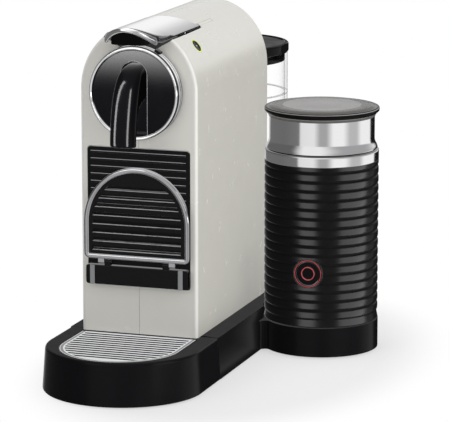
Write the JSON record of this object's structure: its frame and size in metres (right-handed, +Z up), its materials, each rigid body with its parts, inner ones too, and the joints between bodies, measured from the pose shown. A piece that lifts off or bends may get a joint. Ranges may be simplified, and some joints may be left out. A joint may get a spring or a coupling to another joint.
{
  "type": "pod coffee machine",
  "caption": "Pod coffee machine with an arched housing, round front ring and spout, lever hood, folding cup support, clear rear tank, drip tray and a lift-off milk frother.",
  "frame": {"origin": "on the table, under the middle of the whole footprint (machine and frother together)", "axes": "-Y towards the front (spout side), +Z up, +X towards the frother"},
  "size_m": [0.2158, 0.366, 0.2828],
  "materials": {
    "cream_housing": "smooth, semi-gloss off-white",
    "black_gloss": "piano gloss black",
    "black_satin": "fine satin black",
    "dark_inner": "moulded dark grey",
    "chrome_trim": "polished",
    "steel_brushed": "brushed around",
    "steel_plain": "plain",
    "grey_satin": "satin grey",
    "brass_cage": "plain",
    "heater_cast": "cast",
    "clear_tank": "clear, polished",
    "smoke_lid": "smoky clear, polished",
    "rubber_black": "plain",
    "hose_milky": "milky",
    "board_green": "coated board",
    "white_plastic": "moulded white",
    "glow_green": "lit clear ring",
    "glow_red": "lit clear ring"
  },
  "bodies": {
    "machine": {"base_housing": "black_gloss", "base_plate": "black_satin", "rubber_feet": "rubber_black", "base_screws": "steel_plain", "cord_gland": "rubber_black", "contact_hub": "black_satin", "side_shell_left": "cream_housing", "side_shell_right": "cream_housing", "rear_cover": "black_satin", "inner_frame": "dark_inner", "frame_screws": "steel_plain", "front_ring": "chrome_trim", "front_disc": "black_gloss", "spout": "black_gloss", "spout_latch": "chrome_trim", "capsule_chute": "black_satin", "pressure_head": "dark_inner", "lever_pins": "steel_plain", "water_heater": "heater_cast", "heater_bracket": "heater_cast", "pump": "steel_plain", "pump_mounts": "rubber_black", "flow_meter": "white_plastic", "water_hoses": "hose_milky", "control_board": "board_green", "valve_seat": "black_satin", "button_ring_left": "glow_green", "button_ring_right": "glow_green"},
    "lever": {"lever_hood": "chrome_trim", "lever_lip": "chrome_trim", "lever_liner": "black_satin", "lever_arms": "steel_plain"},
    "cage": {"capsule_cage": "brass_cage"},
    "brew_button_left": {"brew_button_left": "black_gloss"},
    "brew_button_right": {"brew_button_right": "black_gloss"},
    "container_unit": {"container_panel": "black_satin", "capsule_container": "black_satin", "gloss_box": "black_gloss", "support_bracket": "grey_satin", "support_pins": "steel_plain"},
    "cup_support": {"cup_support_rim": "chrome_trim", "cup_support_grid": "black_satin"},
    "drip_tray": {"drip_tray": "black_gloss"},
    "drip_grid": {"drip_grid": "chrome_trim"},
    "tank": {"water_tank": "clear_tank", "tank_valve": "dark_inner"},
    "tank_lid": {"tank_lid": "black_gloss", "lid_insert": "grey_satin"},
    "jug": {"jug_sleeve": "black_satin", "jug_base": "black_satin", "steel_jug": "steel_brushed", "jug_motor": "heater_cast", "jug_button_bezel": "glow_red"},
    "jug_lid": {"jug_lid": "smoke_lid", "lid_seal": "rubber_black"},
    "jug_button": {"jug_button": "black_gloss", "jug_button_light": "glow_red"},
    "magnet": {"drive_magnet": "steel_plain"},
    "whisk": {"whisk": "steel_plain"}
  },
  "joints": [
    {"name": "lever_hinge", "type": "hinge", "parent": "machine", "child": "lever", "pos_m": [-0.0439, 0.007, 0.264], "axis": [-1, 0, 0], "range_deg": [0, 65]},
    {"name": "cage_slide", "type": "slide", "parent": "machine", "child": "cage", "axis": [0, 1, 0], "range_m": [0, 0.0121]},
    {"name": "brew_button_right_press", "type": "slide", "parent": "machine", "child": "brew_button_right", "axis": [0.7908, 0, 0.612], "range_m": [-0.0012, 0], "stiffness_N_per_m": 600, "springref_m": 0.001},
    {"name": "brew_button_left_press", "type": "slide", "parent": "machine", "child": "brew_button_left", "axis": [-0.7908, 0, 0.612], "range_m": [-0.0012, 0], "stiffness_N_per_m": 600, "springref_m": 0.001},
    {"name": "container_slide", "type": "slide", "parent": "machine", "child": "container_unit", "axis": [0, -1, 0], "range_m": [0, 0.1]},
    {"name": "cup_support_hinge", "type": "hinge", "parent": "container_unit", "child": "cup_support", "pos_m": [-0.0439, -0.0894, 0.0934], "axis": [1, 0, 0], "range_deg": [0, 90]},
    {"name": "drip_tray_slide", "type": "slide", "parent": "machine", "child": "drip_tray", "axis": [0, -1, 0], "range_m": [0, 0.12]},
    {"name": "drip_grid_lift", "type": "slide", "parent": "drip_tray", "child": "drip_grid", "axis": [0, 0, 1], "range_m": [0, 0.035]},
    {"name": "tank_lift", "type": "slide", "parent": "machine", "child": "tank", "axis": [0, 0, 1], "range_m": [0, 0.06]},
    {"name": "tank_lid_lift", "type": "slide", "parent": "tank", "child": "tank_lid", "axis": [0, 0, 1], "range_m": [0, 0.05]},
    {"name": "jug_lift", "type": "slide", "parent": "machine", "child": "jug", "axis": [0, 0, 1], "range_m": [0, 0.06]},
    {"name": "jug_lid_lift", "type": "slide", "parent": "jug", "child": "jug_lid", "axis": [0, 0, 1], "range_m": [0, 0.04]},
    {"name": "jug_button_press", "type": "slide", "parent": "jug", "child": "jug_button", "axis": [0.061, -0.9981, 0], "range_m": [-0.0012, 0], "stiffness_N_per_m": 600, "springref_m": 0.001},
    {"name": "magnet_spin", "type": "hinge", "parent": "jug", "child": "magnet", "pos_m": [0.0609, 0.0623, 0.077], "axis": [0, 0, 1], "continuous": true},
    {"name": "whisk_spin", "type": "hinge", "parent": "jug", "child": "whisk", "pos_m": [0.0609, 0.0623, 0.088], "axis": [0, 0, 1], "continuous": true}
  ],
  "couplings": [
    {"joint": "cage_slide", "follows": "lever_hinge", "m_per_rad": 0.010578},
    {"joint": "whisk_spin", "follows": "magnet_spin", "ratio": 1}
  ]
}
